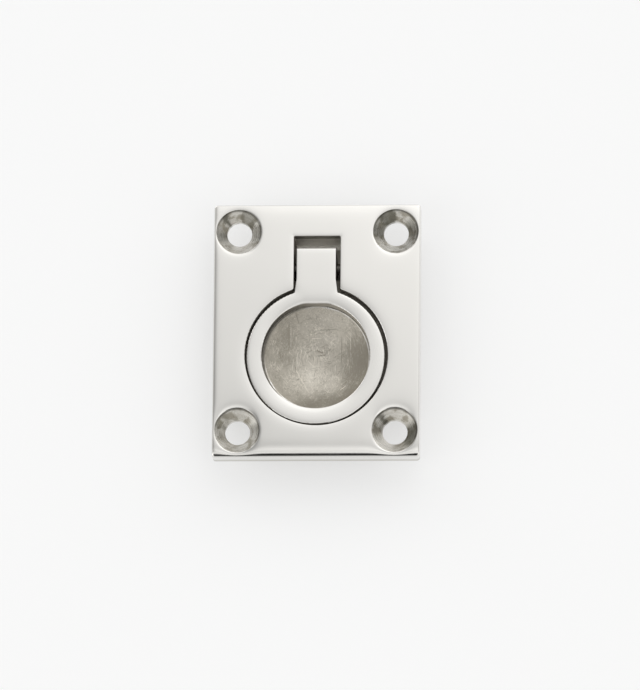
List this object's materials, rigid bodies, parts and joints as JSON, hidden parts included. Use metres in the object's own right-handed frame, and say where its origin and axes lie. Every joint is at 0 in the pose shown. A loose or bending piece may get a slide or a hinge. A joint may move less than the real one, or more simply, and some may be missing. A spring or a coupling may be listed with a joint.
{
  "type": "recessed ring pull",
  "caption": "Flush finger pull: a polished rectangular plate with a keyhole recess, a hinged ring level with the face over a finger bowl, and countersunk corner holes.",
  "frame": {"origin": "middle of the plate's back, on the surface that the plate is screwed to, at the centre of the screw holes", "axes": "+Z out of the polished face, +Y along the plate to the hinge end, +X to the right as the face is seen"},
  "size_m": [0.0382, 0.0476, 0.0093],
  "materials": {
    "plate_nickel": "polished nickel plate over brass",
    "ring_nickel": "polished nickel plate over brass",
    "pin_steel": "drawn steel"
  },
  "bodies": {
    "base": {"recess_plate": "plate_nickel", "hinge_pin": "pin_steel"},
    "ring": {"pull_ring": "ring_nickel"}
  },
  "joints": [
    {"name": "ring_lift", "type": "hinge", "parent": "base", "child": "ring", "pos_m": [0, 0.01265, -0.001], "axis": [-1, 0, 0], "range_deg": [0, 95]}
  ]
}
